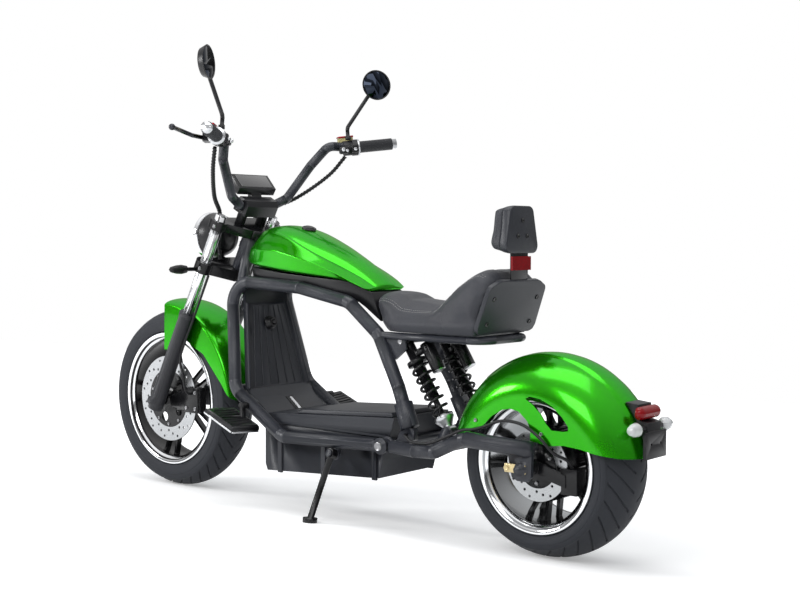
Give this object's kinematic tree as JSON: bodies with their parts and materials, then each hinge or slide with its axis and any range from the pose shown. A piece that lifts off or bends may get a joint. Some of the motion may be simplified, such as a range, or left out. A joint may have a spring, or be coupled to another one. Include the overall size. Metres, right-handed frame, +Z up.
{
  "type": "electric chopper scooter",
  "caption": "Low electric chopper scooter with a looped step-through frame, battery box under the floor, wide rear tyre, high handlebar and side stand.",
  "frame": {"origin": "middle of the outline, on the ground the parked scooter stands on", "axes": "+X forward, +Y to the rider's left, +Z up from the ground; the scooter leans 7 degrees to its left on the side stand"},
  "size_m": [1.994, 0.8997, 1.3498],
  "materials": {
    "charcoal_paint": "satin powder coat",
    "charcoal_plastic": "fine grained",
    "green_paint": "metallic lacquer",
    "black_plastic": "satin",
    "black_paint": "satin",
    "steel": "brushed",
    "chrome": "polished",
    "alloy": "black with polished lips",
    "tyre": "rubber",
    "grip_rubber": "ribbed",
    "seat_cover": "stitched",
    "red_lens": "clear red",
    "clear_lens": "clear",
    "mirror": "polished",
    "battery_pack": "plain"
  },
  "bodies": {
    "frame": {"frame_tubes": "charcoal_paint", "floor_panel": "charcoal_plastic", "battery_box": "charcoal_plastic", "battery": "battery_pack", "battery_cover": "charcoal_plastic", "tank": "green_paint", "tank_trim": "black_plastic", "seat": "seat_cover", "seat_panel": "charcoal_plastic", "backrest": "seat_cover", "backrest_bracket": "black_paint", "swingarm": "charcoal_paint", "shocks": "black_paint", "shock_springs": "black_paint", "rear_fender": "green_paint", "red_lenses": "red_lens", "rear_indicators": "clear_lens", "plate_bracket": "black_plastic", "rear_caliper": "black_paint", "rear_hose": "black_plastic", "foot_pedals": "black_plastic", "charge_port": "black_plastic"},
    "fork": {"fork_legs": "black_paint", "fork_tubes": "chrome", "fork_clamps": "black_paint", "front_fender": "green_paint", "headlight": "black_plastic", "headlight_lens": "clear_lens", "front_indicators": "black_plastic", "handlebar": "black_paint", "bar_clamp": "black_plastic", "grips": "grip_rubber", "levers": "steel", "bar_controls": "black_plastic", "mirrors": "black_plastic", "mirror_glass": "mirror", "front_caliper": "black_paint", "front_cables": "black_plastic"},
    "front_wheel": {"front_tyre": "tyre", "front_rim": "alloy", "front_disc": "steel"},
    "rear_wheel": {"rear_tyre": "tyre", "rear_rim": "alloy", "rear_disc": "steel"},
    "stand": {"side_stand": "black_paint"}
  },
  "joints": [
    {"name": "steer", "type": "hinge", "parent": "frame", "child": "fork", "pos_m": [0.41214, -0.042, 0.73976], "axis": [-0.4695, 0.1076, 0.8764], "range_deg": [-35, 35]},
    {"name": "front_spin", "type": "hinge", "parent": "fork", "child": "front_wheel", "pos_m": [0.7145, -0.09832, 0.28105], "axis": [0, 0.9925, -0.1219], "continuous": true},
    {"name": "rear_spin", "type": "hinge", "parent": "frame", "child": "rear_wheel", "pos_m": [-0.7155, -0.10393, 0.2354], "axis": [0, 0.9925, -0.1219], "continuous": true},
    {"name": "stand_swing", "type": "hinge", "parent": "frame", "child": "stand", "pos_m": [-0.10436, 0.04093, 0.18436], "axis": [0, 0.9828, 0.1846], "range_deg": [0, 82]}
  ]
}
